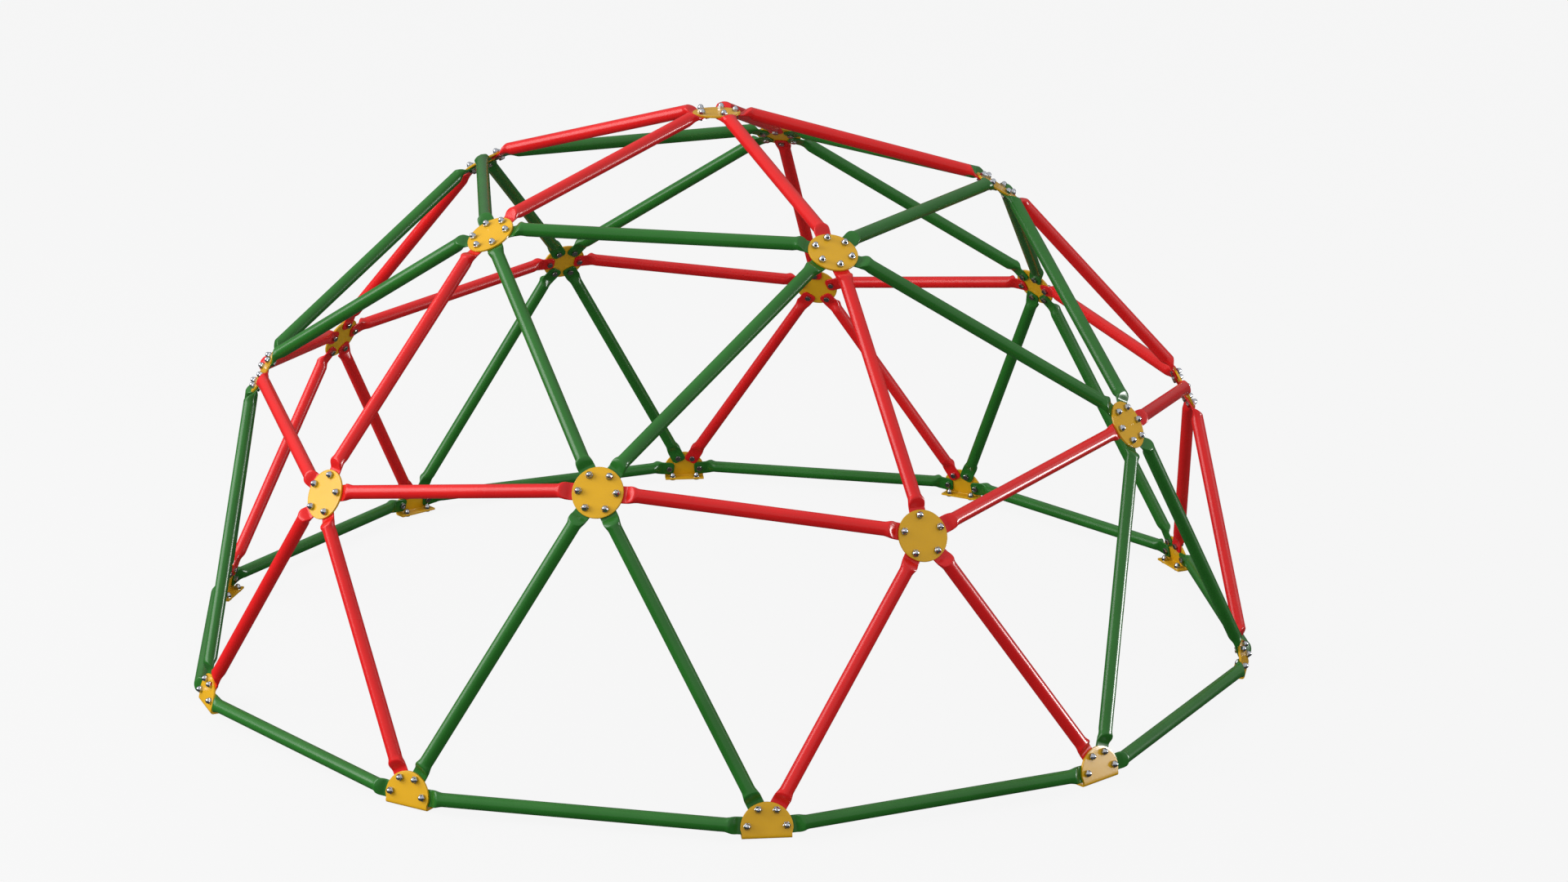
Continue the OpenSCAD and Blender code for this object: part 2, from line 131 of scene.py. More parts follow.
def neighbours(hub):
    """The hubs that one hub is tied to."""
    kind, i = hub
    tied = {
        "apex": [("crown", j) for j in range(5)],
        "crown": [("apex", 0), ("crown", i + 1), ("crown", i - 1),
                  ("pentagon", i), ("hexagon", i), ("hexagon", i - 1)],
        "pentagon": [("crown", i), ("hexagon", i), ("hexagon", i - 1),
                     ("foot", 2 * i), ("foot", 2 * i + 1)],
        "hexagon": [("crown", i), ("crown", i + 1), ("pentagon", i), ("pentagon", i + 1),
                    ("foot", 2 * i + 1), ("foot", 2 * i + 2)],
        "foot": [("foot", i + 1), ("foot", i - 1), ("pentagon", i // 2), ("hexagon", i // 2 - 1 + i % 2)],
    }[kind]
    return [(k, j % COUNT[k]) for k, j in tied]


def bolt_circle(hub):
    """Radius of the circle that the bolts of a hub lie on."""
    return BOLT_CIRCLE[5 if hub[0] in ("apex", "pentagon") else 6]


def leaving(hub, other):
    """Direction in which a tube leaves its plate: the line to the other hub, laid flat on the plate."""
    line = centre(other) - centre(hub)
    n = normal(hub)
    return unit(line - (line @ n) * n)


def bend_point(hub, other):
    """Where the axis of a tube starts, outside the end of its flattened part."""
    return centre(hub) + BEND_REACH * leaving(hub, other) + (BEND_RISE - FLAT_THICKNESS / 2) * normal(hub)


HUBS = [(kind, i) for kind, count in COUNT.items() for i in range(count)]
print(len(HUBS), "hubs,", sum(len(neighbours(hub)) for hub in HUBS) // 2, "tubes")

# %% [markdown]
# ## The camera
# The camera comes first, so that every look at the scene is from the same place. It stands some
# ten metres off and three and a half metres up, with a long lens: from so far away the round
# outline of the dome doesn't bulge.

# %% The camera
CAMERA_PLACE = np.array([-3.810, -9.272, 3.6234])
CAMERA_LOOKS = np.array([0.381325, 0.878503, -0.28782])
LENS = 79.91  # millimetres, on a sensor 36 mm wide


def turned_to(direction):
    """Rotation that points an object's -Z along a direction with its Y upwards, as three Euler angles."""
    back = -unit(direction)
    right = unit(np.cross(UP, back))
    up = np.cross(back, right)
    pitch = np.arctan2(up[2], back[2])
    return (float(pitch), 0.0, float(np.arctan2(right[1], right[0])))


camera_data = bpy.data.cameras.new("studio_camera")
camera_data.lens = LENS
camera_data.sensor_width = 36.0
camera_data.clip_end = 200.0
camera = bpy.data.objects.new("studio_camera", camera_data)
camera.location = CAMERA_PLACE.tolist()
camera.rotation_euler = turned_to(CAMERA_LOOKS)
bpy.context.scene.collection.objects.link(camera)
bpy.context.scene.camera = camera
print("camera", [round(c, 2) for c in camera.location], "lens", LENS)

# %% [markdown]
# ## From numbers to meshes
# Every piece is a surface over a grid: rows along the piece and columns around it. One helper turns
# such a grid into faces, and another turns points and faces into an object that stays at the origin
# with its place in its mesh. Several grids joined end to end make a piece of several tubes.


# %% Helpers for meshes
def grid_faces(rows, columns, around=True):
    """Quads of a grid whose point (i, j) has the index i * columns + j.
    Around joins the last column to column 0."""
    i = np.arange(rows - 1)[:, None] * columns
    j = np.arange(columns if around else columns - 1)[None, :]
    k = (j + 1) % columns
    return np.stack([i + j, i + k, i + columns + k, i + columns + j], axis=-1).reshape(-1, 4).tolist()


def placed(points, origin, x, z):
    """Points of a local frame as points of the dome, from the frame's origin, x axis and z axis."""
    return origin + points @ np.stack([x, np.cross(z, x), z])


def make_piece(name, parts, finish, nodes, flat_faces=None, layers=None):
    """An object of several surfaces, each a pair (points, faces). It rides on the frame.
    flat_faces says which faces are shaded flat, and layers holds one number a point for each name."""
    points = np.concatenate([p for p, _ in parts])
    faces, start = [], 0
    for p, part_faces in parts:
        faces += [[start + index for index in face] for face in part_faces]
        start += len(p)
    mesh = bpy.data.meshes.new(name)
    mesh.from_pydata(points.tolist(), [], faces)
    smooth = np.ones(len(faces), dtype=bool) if flat_faces is None else ~np.asarray(flat_faces)
    mesh.polygons.foreach_set("use_smooth", smooth)
    for layer, values in (layers or {}).items():
        numbers = mesh.attributes.new(layer, "FLOAT", "POINT").data
        numbers.foreach_set("value", np.asarray(values, dtype=np.float32))
    mesh.validate()
    mesh.materials.append(finish)
    piece = bpy.data.objects.new(name, mesh)
    bpy.context.scene.collection.objects.link(piece)
    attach(piece, "root")
    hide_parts(*nodes)
    return piece


def smooth_step(x, low, high):
    """0 up to low, 1 from high, and a smooth S between them."""
    t = np.clip((x - low) / (high - low), 0, 1)
    return t * t * (3 - 2 * t)


# %% [markdown]
# ## Shared effects for the paint
# Powder coat is sprayed as dry powder and melted in an oven. It levels into a glossy skin that keeps
# a faint ripple, called orange peel, and its colour is a touch uneven where the coat is thicker. Out
# of doors a little dust settles on whatever faces up. Each effect is a node group that gives a value
# over the surface, built once and used by all three colours.


# %% Node groups
def new_group(name, inputs, outputs):
    """A shader node group with named float inputs (name, default) and outputs (name, kind)."""
    group = bpy.data.node_groups.new(name, "ShaderNodeTree")
    for label, value in inputs:
        socket = group.interface.new_socket(label, in_out="INPUT", socket_type="NodeSocketFloat")
        socket.default_value = value
    for label, kind in outputs:
        group.interface.new_socket(label, in_out="OUTPUT", socket_type=kind)
    return group, group.nodes.new("NodeGroupInput"), group.nodes.new("NodeGroupOutput")


def add(tree, kind, **values):
    """A node of a tree with its properties set, and its inputs where the name is an input's in capitals."""
    node = tree.nodes.new(kind)
    for key, value in values.items():
        if key.isupper():
            node.inputs[key.replace("_", " ").title()].default_value = value
        else:
            setattr(node, key, value)
    return node


def calculate(tree, operation, a, b=0.5, clamp=False):
    """A Math node on two sockets or numbers, giving its output."""
    node = add(tree, "ShaderNodeMath", operation=operation, use_clamp=clamp)
    for socket, value in zip(node.inputs, (a, b)):
        if isinstance(value, (int, float)):
            socket.default_value = value
        else:
            tree.links.new(value, socket)
    return node.outputs[0]


def remap(tree, value, low, high, to_low, to_high):
    """A Map Range node on a socket, clamped, giving its output."""
    node = add(tree, "ShaderNodeMapRange")
    for key, number in zip(("From Min", "From Max", "To Min", "To Max"), (low, high, to_low, to_high)):
        node.inputs[key].default_value = number
    tree.links.new(value, node.inputs["Value"])
    return node.outputs["Result"]


def peel_group():
    """Height of the ripple of a melted coat: fine noise, made stronger and weaker by a slower one."""
    group, given, out = new_group("orange_peel", [("Cells per metre", 320.0)],
                                  [("Height", "NodeSocketFloat")])
    place = add(group, "ShaderNodeTexCoord").outputs["Object"]
    fine = add(group, "ShaderNodeTexNoise", DETAIL=2.0, ROUGHNESS=0.45)
    slow = add(group, "ShaderNodeTexNoise", SCALE=22.0, DETAIL=2.0)
    group.links.new(place, fine.inputs["Vector"])
    group.links.new(place, slow.inputs["Vector"])
    group.links.new(given.outputs[0], fine.inputs["Scale"])
    swell = remap(group, slow.outputs["Fac"], 0.3, 0.7, 0.6, 1.0)
    height = calculate(group, "MULTIPLY", fine.outputs["Fac"], swell)
    group.links.new(height, out.inputs[0])
    return group


def dust_group():
    """Mask of settled dust: where a surface faces up, broken up by noise, and stronger near the ground."""
    group, given, out = new_group("settled_dust", [("Amount", 0.5)], [("Mask", "NodeSocketFloat")])
    place = add(group, "ShaderNodeTexCoord").outputs["Object"]
    facing = add(group, "ShaderNodeSeparateXYZ")
    group.links.new(add(group, "ShaderNodeNewGeometry").outputs["Normal"], facing.inputs[0])
    height = add(group, "ShaderNodeSeparateXYZ")
    group.links.new(place, height.inputs[0])
    patches = add(group, "ShaderNodeTexNoise", SCALE=14.0, DETAIL=5.0, ROUGHNESS=0.65)
    group.links.new(place, patches.inputs["Vector"])
    up = remap(group, facing.outputs["Z"], 0.55, 1.0, 0.0, 1.0)
    low = remap(group, height.outputs["Z"], 0.0, 0.5, 1.0, 0.35)
    broken = remap(group, patches.outputs["Fac"], 0.4, 0.75, 0.2, 1.0)
    mask = calculate(group, "MULTIPLY", calculate(group, "MULTIPLY", up, low), broken)
    group.links.new(calculate(group, "MULTIPLY", mask, given.outputs[0], clamp=True), out.inputs[0])
    return group


ORANGE_PEEL = peel_group()
SETTLED_DUST = dust_group()
print("node groups:", ORANGE_PEEL.name, SETTLED_DUST.name)

# %% [markdown]
# ## The paint
# One recipe makes the red, the green and the yellow. The colour drifts a little between a thin and a
# thick coat, edges and creases show a thinner coat, and the ripple feeds the bump. The roughness
# wanders a little about one value, and the reflection is a touch weaker than that of clear lacquer.


# %% Powder coat
def noise_at(tree, place, scale, detail=3.0, rough=0.5):
    """A noise value at a place, with so many cells a metre."""
    node = add(tree, "ShaderNodeTexNoise", SCALE=scale, DETAIL=detail, ROUGHNESS=rough)
    tree.links.new(place, node.inputs["Vector"])
    return node.outputs["Fac"]


def mix_colours(tree, amount, a, b):
    """A Mix node between two colours or sockets."""
    node = add(tree, "ShaderNodeMix", data_type="RGBA")
    for socket, value in zip((node.inputs["Factor"], node.inputs[6], node.inputs[7]), (amount, a, b)):
        if isinstance(value, (int, float, tuple)):
            socket.default_value = value
        else:
            tree.links.new(value, socket)
    return node.outputs[2]


def new_finish(name):
    """A material with an empty tree but for its Principled shader and output: (material, tree, shader)."""
    finish = bpy.data.materials.new(name)
    finish.use_nodes = True
    tree = finish.node_tree
    return finish, tree, tree.nodes["Principled BSDF"]


DUST_COLOUR = (0.55, 0.50, 0.43, 1.0)


def powder_coat(name, thin, thick, gloss, dust):
    """Powder-coated steel, from the colours of a thin and a thick coat, a roughness and some dust."""
    finish, tree, shader = new_finish(name)
    place = add(tree, "ShaderNodeTexCoord").outputs["Object"]
    drift = remap(tree, noise_at(tree, place, 5.0), 0.35, 0.65, 0.0, 1.0)
    speckle = remap(tree, noise_at(tree, place, 900.0, 1.0), 0.3, 0.7, 0.0, 0.05)
    depth = calculate(tree, "ADD", drift, speckle, clamp=True)
    coat = mix_colours(tree, depth, (*thin, 1.0), (*thick, 1.0))
    edge = add(tree, "ShaderNodeAttribute", attribute_name="thin_coat").outputs["Fac"]
    bare = tuple(0.75 * c for c in thin)
    coat = mix_colours(tree, calculate(tree, "MULTIPLY", edge, 0.5), coat, (*bare, 1.0))
    dusty = add(tree, "ShaderNodeGroup", node_tree=SETTLED_DUST)
    dusty.inputs["Amount"].default_value = dust
    coat = mix_colours(tree, dusty.outputs["Mask"], coat, DUST_COLOUR)
    tree.links.new(coat, shader.inputs["Base Color"])
    worn = remap(tree, noise_at(tree, place, 9.0, 4.0, 0.6), 0.3, 0.7, gloss - 0.02, gloss + 0.03)
    dull = calculate(tree, "MULTIPLY", dusty.outputs["Mask"], 0.4)
    rough = calculate(tree, "ADD", worn, dull, clamp=True)
    tree.links.new(rough, shader.inputs["Roughness"])
    peel = add(tree, "ShaderNodeGroup", node_tree=ORANGE_PEEL)
    bump = add(tree, "ShaderNodeBump", STRENGTH=0.02, DISTANCE=0.0002)
    tree.links.new(peel.outputs["Height"], bump.inputs["Height"])
    tree.links.new(bump.outputs["Normal"], shader.inputs["Normal"])
    shader.inputs["IOR"].default_value = 1.5
    shader.inputs["Specular IOR Level"].default_value = 0.32
    return finish


RED_PAINT = powder_coat("red_powder_coat", (0.68, 0.009, 0.009), (0.62, 0.007, 0.008), 0.26, 0.03)
GREEN_PAINT = powder_coat("green_powder_coat", (0.018, 0.142, 0.016), (0.015, 0.122, 0.013), 0.26, 0.03)
YELLOW_PAINT = powder_coat("yellow_powder_coat", (0.69, 0.375, 0.009), (0.63, 0.340, 0.008), 0.24, 0.03)
print("paints:", RED_PAINT.name, GREEN_PAINT.name, YELLOW_PAINT.name)

# %% [markdown]
# ## The fasteners' metal
# Bolts and cap nuts are steel with a thin bright plating. Plating follows every mark of the tool, so
# it is smooth on the domes with a faint haze, and its tone is a little blue. A slow noise moves the
# roughness, and a fine one gives the brushed facets a grain that catches the light.


# %% Bright plating
def bright_plating(name, tone, smooth_end, hazy_end):
    """Plated steel of one tone, with a roughness that wanders between two values."""
    finish, tree, shader = new_finish(name)
    place = add(tree, "ShaderNodeTexCoord").outputs["Object"]
    haze = remap(tree, noise_at(tree, place, 160.0, 4.0, 0.6), 0.3, 0.7, smooth_end, hazy_end)
    dull = tuple(0.72 * c for c in tone)
    stain = remap(tree, noise_at(tree, place, 60.0, 5.0, 0.6), 0.5, 0.75, 0.0, 0.6)
    tree.links.new(mix_colours(tree, stain, (*tone, 1.0), (*dull, 1.0)), shader.inputs["Base Color"])
    tree.links.new(haze, shader.inputs["Roughness"])
    bump = add(tree, "ShaderNodeBump", STRENGTH=0.15, DISTANCE=0.0001)
    tree.links.new(noise_at(tree, place, 1500.0, 2.0), bump.inputs["Height"])
    tree.links.new(bump.outputs["Normal"], shader.inputs["Normal"])
    shader.inputs["Metallic"].default_value = 1.0
    return finish


CAP_METAL = bright_plating("bright_zinc_caps", (0.44, 0.46, 0.50), 0.08, 0.16)
HEAD_METAL = bright_plating("bright_zinc_heads", (0.40, 0.38, 0.37), 0.16, 0.28)
print("metals:", CAP_METAL.name, HEAD_METAL.name)

# %% [markdown]
# ## The tubes
# A climber's tube is cut to length, its ends are pressed flat in a die and punched, and the flat is
# bent to lie on the plate. The wall isn't stretched, so the flat is wider than the tube, and between
# the two lies a shoulder, a little steeper on the outer side than on the inner side. A round section
# that turns into a flat one is hard to cut out of simple solids, but as a surface it is one grid:
# rows are sections along the tube and columns go around.

# %% The section and its path
AROUND = 48
EDGE_TURN = np.radians(24)  # how much of the turn each pressed edge takes up
BEND_SOFTNESS = 9 * MM  # half the length of path over which the bend is made
TIP_ROUND = 1.4 * MM  # how far from its tip the flat is rounded off
# Where each change between flat and round begins and ends, from the centre of the hub
SIDES_NARROW = (84 * MM, 112 * MM)
TOP_RISES = (75 * MM, 100 * MM)
LOW_DROPS = (80 * MM, 116 * MM)
TURNS_ROUND = (76 * MM, 110 * MM)
CREASE_AT = 79 * MM
CREASE_WIDTH = 5 * MM
TIP_WEAR = 2 * MM  # how far from its tip the coat of the flat is thin


def section(flatness):
    """Outline of a section, x and y between -1 and 1, as an array (rows, AROUND, 2).
    It mixes a circle with a pressed one, which has straight top and bottom sides and half-round edges."""
    turn = np.arange(AROUND) * 2 * np.pi / AROUND
    circle = np.stack([np.cos(turn), np.sin(turn)], axis=-1)
    thin = FLAT_THICKNESS / FLAT_WIDTH
    over = np.abs(np.sin(turn)) < np.sin(EDGE_TURN)
    swing = np.arcsin(np.clip(np.sin(turn) / np.sin(EDGE_TURN), -1, 1))
    x_edge = np.sign(np.cos(turn)) * (1 - thin + thin * np.cos(swing))
    x_flat = (1 - thin) * np.cos(turn) / np.cos(EDGE_TURN)
    pressed = np.stack([np.where(over, x_edge, x_flat), np.sin(swing)], axis=-1)
    k = flatness[:, None, None]
    return (1 - k) * circle + k * pressed


def end_stations(hub):
    """Distances of the sections of one end from the centre of its hub, along the path."""
    tip = bolt_circle(hub) - FLAT_TIP
    rounding = tip + np.array([0, 0.4, 1.2, 2.5, 4.5, 7, 10, 14]) * MM
    return np.concatenate([rounding, np.array([66, 74]) * MM, np.arange(77, 121, 2) * MM])


def tube_end(hub, other, stations):
    """Points (rows, AROUND, 3) of one end of a tube and, for each row, how thin its coat is.
    The path is straight along the plate, turns at the bend along a parabola, and goes on along the tube.
    Half width, top and bottom change along it by smooth steps."""
    n, w, k = normal(hub), leaving(hub, other), bend_point(hub, other)
    u = unit(bend_point(other, hub) - k)
    s = stations[:, None]
    past = s - BEND_REACH
    soft = BEND_SOFTNESS
    on_bend = (past + soft) ** 2 / (4 * soft)
    turned = np.where(past < -soft, 0, np.where(past > soft, past, on_bend))
    path = k + past * w + turned * (u - w)
    ahead = unit(w + np.clip((past + soft) / (2 * soft), 0, 1) * (u - w))
    side = unit(np.cross(n, ahead))
    up = np.cross(ahead, side)
    from_tip = s - (bolt_circle(hub) - FLAT_TIP)
    corner = np.clip(FLAT_CORNER - from_tip, 0, FLAT_CORNER)
    half = FLAT_WIDTH / 2 - FLAT_CORNER + np.sqrt(FLAT_CORNER ** 2 - corner ** 2)
    half = half + (TUBE_RADIUS - FLAT_WIDTH / 2) * smooth_step(s, *SIDES_NARROW)
    edge = np.sqrt(TIP_ROUND ** 2 - np.clip(TIP_ROUND - from_tip, 0, TIP_ROUND) ** 2) - TIP_ROUND
    top = FLAT_THICKNESS / 2 - BEND_RISE + edge
    low = -FLAT_THICKNESS / 2 - BEND_RISE - edge
    top = top + (TUBE_RADIUS - top) * smooth_step(s, *TOP_RISES)
    low = low + (-TUBE_RADIUS - low) * smooth_step(s, *LOW_DROPS)
    outline = section((1 - smooth_step(s, *TURNS_ROUND))[:, 0])
    across = outline[..., 0] * half
    rises = (top + low) / 2 + outline[..., 1] * (top - low) / 2
    points = path[:, None] + across[..., None] * side[:, None] + rises[..., None] * up[:, None]
    crease = 0.3 * np.exp(-((s - CREASE_AT) / CREASE_WIDTH) ** 2)
    crease = crease + 0.5 * np.exp(-(from_tip / TIP_WEAR) ** 2)
    return points, np.clip(crease, 0, 1) * np.ones((1, AROUND))


MIDDLE = np.linspace(0, 1, 9)[1:-1]


def tube(a, b):
    """One closed tube between two hubs: the end at a, straight rows, and the end at b in reverse order."""
    first, thin_first = tube_end(a, b, end_stations(a))
    last, thin_last = tube_end(b, a, end_stations(b))
    mirror = (AROUND // 2 - np.arange(AROUND)) % AROUND
    last, thin_last = last[::-1, mirror], thin_last[::-1]
    t = MIDDLE[:, None, None]
    middle = (1 - t) * first[-1] + t * last[0]
    points = np.concatenate([first, middle, last])
    rows = len(points)
    faces = grid_faces(rows, AROUND)
    faces.append(list(range(AROUND))[::-1])
    faces.append([(rows - 1) * AROUND + j for j in range(AROUND)])
    thin = np.concatenate([thin_first, np.zeros((len(MIDDLE), AROUND)), thin_last])
    return points.reshape(-1, 3), faces, thin.ravel()


# %% [markdown]
# ### Laying the tubes
# Forty named nodes hold the sixty-five tubes. The first column below is the node's name, then its
# colour, and then the pairs of hubs that its tubes run between, for sector i of five.

# %% Every tube
TUBES = {
    "apex_strut": ("red", lambda i: [(("apex", 0), ("crown", i))]),
    "crown_rail": ("green", lambda i: [(("crown", i), ("crown", i + 1))]),
    "shoulder_strut": ("red", lambda i: [(("crown", i), ("pentagon", i))]),
    "shoulder_braces": ("green", lambda i: [(("crown", i), ("hexagon", i)),
                                            (("crown", i), ("hexagon", i - 1))]),
    "waist_rails": ("red", lambda i: [(("pentagon", i), ("hexagon", i)),
                                      (("pentagon", i), ("hexagon", i - 1))]),
    "pentagon_legs": ("red", lambda i: [(("pentagon", i), ("foot", 2 * i)),
                                        (("pentagon", i), ("foot", 2 * i + 1))]),
    "hexagon_legs": ("green", lambda i: [(("hexagon", i), ("foot", 2 * i + 1)),
                                         (("hexagon", i), ("foot", 2 * i + 2))]),
    "base_rails": ("green", lambda i: [(("foot", 2 * i), ("foot", 2 * i + 1)),
                                       (("foot", 2 * i + 1), ("foot", 2 * i + 2))]),
}
PAINTS = {"red": RED_PAINT, "green": GREEN_PAINT}


def around_the_ring(hub):
    """The same hub with its number counted round its ring."""
    return hub[0], hub[1] % COUNT[hub[0]]


for family, (colour, pairs) in TUBES.items():
    for i in range(5):
        made = [tube(around_the_ring(a), around_the_ring(b)) for a, b in pairs(i)]
        node = f"{family}_{i + 1}"
        make_piece(f"{node}_tube", [(p, f) for p, f, _ in made], PAINTS[colour], [node],
                   layers={"thin_coat": np.concatenate([thin for _, _, thin in made])})
    print(family, "x5,", len(made), "tube(s) each,", len(made[0][1]), "faces a tube")

# %% [markdown]
# ## The hub plates
# A hub plate is a disc cut from 6 mm sheet and tumbled, so that its rim is rounded before it is
# painted. It is turned from a profile: from the middle of the inner face out to the rim, round both
# edges of the rim, and back to the middle of the outer face.


# %% Plates
def turned_shape(radius, height, columns):
    """A closed surface of revolution: the profile (radius, height) is carried round the z axis.
    Both ends of the profile are on the axis, so each is one point with a fan of triangles."""
    turn = np.arange(columns) * 2 * np.pi / columns
    ring = np.stack([np.cos(turn), np.sin(turn)], axis=-1)
    rows = len(radius) - 2
    heights = np.broadcast_to(height[1:-1, None, None], (rows, columns, 1))
    body = np.concatenate([radius[1:-1, None, None] * ring, heights], axis=2)
    points = np.concatenate([body.reshape(-1, 3), [[0, 0, height[0]], [0, 0, height[-1]]]])
    faces = grid_faces(rows, columns)
    j = np.arange(columns)
    k = (j + 1) % columns
    low, high = rows * columns, rows * columns + 1
    faces += np.stack([np.full(columns, low), k, j], axis=-1).tolist()
    top = (rows - 1) * columns
    faces += np.stack([top + j, top + k, np.full(columns, high)], axis=-1).tolist()
    return points, faces


RIM_ROUND = 1.1 * MM


def plate(hub):
    """A disc with rounded edges: two quarter rounds join a straight rim to two flat faces."""
    quarter = np.radians([90, 67.5, 45, 22.5, 0])
    out = PLATE_RADIUS - RIM_ROUND + RIM_ROUND * np.cos(quarter)
    up = RIM_ROUND - RIM_ROUND * np.sin(quarter)
    inner = np.array([0, 0.4, 0.75, 0.93]) * PLATE_RADIUS
    radius = np.concatenate([inner, out, out[::-1], inner[::-1]])
    height = np.concatenate([0 * inner, up, PLATE_THICKNESS - up[::-1], 0 * inner + PLATE_THICKNESS])
    points, faces = turned_shape(radius, height, columns=96)
    far = np.hypot(points[:, 0], points[:, 1])
    thin = smooth_step(far, PLATE_RADIUS - 2.2 * MM, PLATE_RADIUS - 0.6 * MM)
    return placed(points, centre(hub), leaving(hub, neighbours(hub)[0]), normal(hub)), faces, thin


PLATES = {"apex_plate": [("apex", 0)]}
for i in range(5):
    PLATES[f"crown_plate_{i + 1}"] = [("crown", i)]
    PLATES[f"waist_plates_{i + 1}"] = [("pentagon", i), ("hexagon", i)]
for node, hubs in PLATES.items():
    made = [plate(hub) for hub in hubs]
    make_piece(f"{node}_disc", [(p, f) for p, f, _ in made], YELLOW_PAINT, [node],
               layers={"thin_coat": np.concatenate([thin for _, _, thin in made])})
print(len(PLATES), "plate pieces")

# %% [markdown]
# ## The foot brackets
# A foot bracket is one strip of 6 mm sheet. Its upright leans in and has a round head like half a
# hub plate, and its lower edge is bent inwards into a level flange that is anchored to the ground.
# The strip is a grid that follows the middle of the sheet: along the flange, round the bend and up.
# Solidify then gives it its thickness, and a small Bevel rounds the cut edges.


# %% Brackets
def bracket(hub):
    """The middle surface of the sheet as a grid. A column starts at the flange's edge and ends on
    the round head. Rows are lines across up to the waist, and above it they close in on the arc."""
    across = np.linspace(np.pi, 0, 49)
    half_sheet = PLATE_THICKNESS / 2
    bend = BRACKET_BEND + half_sheet
    low = BRACKET_BEND + PLATE_THICKNESS - BRACKET_HEIGHT
    heel = (low + BRACKET_BEND * np.sin(FOOT_LEAN)) / np.cos(FOOT_LEAN)
    bend_out = -heel * np.sin(FOOT_LEAN) - BRACKET_BEND * np.cos(FOOT_LEAN)
    turn = np.linspace(-np.pi / 2, FOOT_LEAN, 10)
    height = np.concatenate([np.full(4, low - bend), low + bend * np.sin(turn)])
    out = np.concatenate([np.linspace(-FLANGE_REACH, bend_out, 5)[:-1], bend_out + bend * np.cos(turn)])
    sideways = FLANGE_WIDTH / 2 * np.cos(across)
    flange = np.stack(np.broadcast_arrays(sideways, height[:, None], out[:, None]), axis=-1)
    along_ring = np.cross(UP, outward(hub))
    flange = placed(flange.reshape(-1, 3), centre(hub), along_ring, outward(hub)).reshape(flange.shape)
    middle = np.full(across.shape, half_sheet)
    straight = (PLATE_THICKNESS - BRACKET_HEIGHT) * np.cos(FOOT_LEAN) + FLANGE_REACH * np.sin(FOOT_LEAN)
    waist = np.stack([sideways, np.full(across.shape, straight), middle], -1)
    arc = PLATE_RADIUS * np.sin(across) - BRACKET_DROP
    head = np.stack([PLATE_RADIUS * np.cos(across), arc, middle], -1)
    waist, head = (placed(row, centre(hub), along_ring, normal(hub)) for row in (waist, head))
    t = np.linspace(0, 1, 9)[:, None, None]
    points = np.concatenate([flange, (1 - t) * waist + t * head])
    rows, columns = points.shape[:2]
    return points.reshape(-1, 3), grid_faces(rows, columns, around=False)


for i in range(5):
    node = f"foot_brackets_{i + 1}"
    piece = make_piece(f"{node}_sheet", [bracket(("foot", 2 * i)), bracket(("foot", 2 * i + 1))],
                       YELLOW_PAINT, [node])
    wall = piece.modifiers.new("sheet_thickness", "SOLIDIFY")
    wall.thickness, wall.offset, wall.use_even_offset = PLATE_THICKNESS, 0.0, True
    edges = piece.modifiers.new("rounded_edges", "BEVEL")
    edges.width, edges.segments, edges.limit_method = RIM_ROUND, 3, "ANGLE"
    edges.angle_limit = np.radians(50)
print("5 bracket pieces of two feet each")

# %% [markdown]
# ## Cap nuts and bolt heads
# A cap nut is a hexagon skirt with its corners turned off by a cone, under a polished dome. The
# radius at any height is the smaller of two: the hexagon's and the cone's. A shape that comes more
# than a hundred times has to stay light, so it has 12 columns: one on each corner and one on each
# flat. The facets of the skirt are shaded flat, and the dome smooth.

# %% Fasteners
COLUMNS = 12
TURN = np.arange(COLUMNS) * 2 * np.pi / COLUMNS
HEXAGON = np.where(np.arange(COLUMNS) % 2 == 0, HEX_WIDTH / 2 / np.cos(np.pi / 6), HEX_WIDTH / 2)


def stack_of_rings(radii, heights):
    """A closed surface from rings, each with a radius a column and a height.
    The first ring and the last are closed by a face."""
    x, y = radii * np.cos(TURN), radii * np.sin(TURN)
    points = np.stack([x, y, np.broadcast_to(heights[:, None], x.shape)], axis=-1).reshape(-1, 3)
    faces = grid_faces(len(radii), COLUMNS)
    faces.append(list(range(COLUMNS))[::-1])
    faces.append([(len(radii) - 1) * COLUMNS + j for j in range(COLUMNS)])
    return points, faces


def cap_nut_shape():
    """Skirt of the nut with both ends chamfered, a step in, and the dome as shrinking circles."""
    cone = 0.4 * MM
    rings = [np.minimum(HEXAGON, HEX_WIDTH / 2 + cone), HEXAGON, HEXAGON,
             np.minimum(HEXAGON, HEX_WIDTH / 2)]
    heights = [0, 0.8 * MM, SKIRT_HEIGHT - 1.0 * MM, SKIRT_HEIGHT]
    lift = np.radians([0, 28, 52, 72, 84])
    base = CAP_HEIGHT - CAP_RADIUS
    rings += [np.full(COLUMNS, CAP_RADIUS * np.cos(a)) for a in lift]
    heights += list(base + CAP_RADIUS * np.sin(lift))
    points, faces = stack_of_rings(np.array(rings), np.array(heights))
    flat = np.zeros(len(faces), dtype=bool)
    flat[: 3 * COLUMNS] = True
    flat[-2] = True
    return points, faces, flat


def bolt_head_shape(height):
    """Head of a bolt hanging below z = 0: a washer face, the hexagon, and a chamfered lower end."""
    rings = [np.minimum(HEXAGON, HEX_WIDTH / 2 - 0.3 * MM), HEXAGON, HEXAGON,
             np.minimum(HEXAGON, HEX_WIDTH / 2)]
    heights = np.array([-height, 1.1 * MM - height, -0.5 * MM, 0])
    points, faces = stack_of_rings(np.array(rings), heights)
    return points, faces, np.ones(len(faces), dtype=bool)


def many(shape, places):
    """Copies of a shape at places (origin, x axis, z axis), and their flat faces, for make_piece."""
    points, faces, flat = shape
    return [(placed(points, *at), faces) for at in places], np.tile(flat, len(places))


